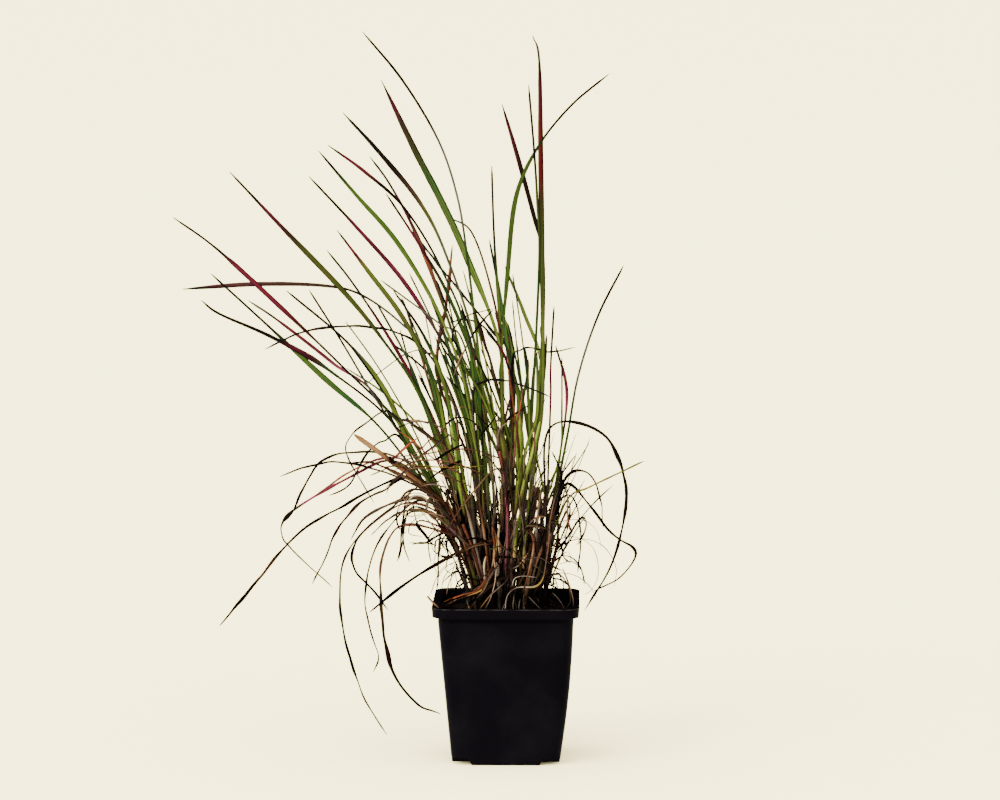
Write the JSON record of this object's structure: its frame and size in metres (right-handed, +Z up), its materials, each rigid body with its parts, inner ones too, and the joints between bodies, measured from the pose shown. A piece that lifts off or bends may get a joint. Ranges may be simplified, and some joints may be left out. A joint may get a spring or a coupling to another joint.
{
  "type": "potted ornamental grass",
  "caption": "Upright clump of narrow-leaved ornamental grass in autumn colour, with a dry thatch at its base, in a square nursery pot.",
  "frame": {"origin": "middle of the pot's underside, on the surface that it stands on", "axes": "+Z up along the pot and the grass, -Y to the front, +X to the right"},
  "size_m": [0.287, 0.196, 0.4466],
  "materials": {
    "pot_plastic": "satin",
    "soil": "matte",
    "leaf_wine": "satin",
    "leaf_olive": "satin",
    "leaf_green": "satin",
    "leaf_dusk": "satin",
    "dry_straw": "matte",
    "dry_umber": "matte",
    "dry_russet": "matte"
  },
  "bodies": {
    "root": {"pot": "pot_plastic", "potting_soil": "soil", "stem_far_left": "leaf_wine", "stem_left": "leaf_olive", "stem_level": "leaf_wine", "stem_low_left": "leaf_green", "stem_fresh_left": "leaf_green", "stem_wine": "leaf_wine", "stem_bright": "leaf_green", "stem_dusky": "leaf_olive", "stem_thin": "leaf_dusk", "stem_folded": "leaf_green", "stem_bent": "leaf_wine", "stem_arching": "leaf_green", "stem_short": "leaf_olive", "stem_olive": "leaf_olive", "stem_tallest": "leaf_wine", "stem_upright": "leaf_wine", "stem_right": "leaf_wine", "stem_far_right": "leaf_wine", "stem_yellow": "leaf_green", "stem_crimson": "leaf_wine", "stem_back_left": "leaf_green", "stem_back": "leaf_green", "stem_back_right": "leaf_green", "stem_rear_left": "leaf_green", "stem_rear": "leaf_olive", "dry_stem_left": "dry_straw", "dry_stem_back_left": "dry_umber", "dry_stem_front_left": "dry_russet", "dry_stem_rear_left": "dry_umber", "dry_stem_front": "dry_russet", "dry_stem_pale": "dry_russet", "dry_stem_hooked": "dry_russet", "dry_stem_right": "leaf_dusk", "dry_stem_far_right": "leaf_dusk", "dry_stem_outer_right": "leaf_dusk", "dry_stem_back_right": "dry_umber", "dry_stem_rear_right": "dry_straw"}
  },
  "joints": []
}
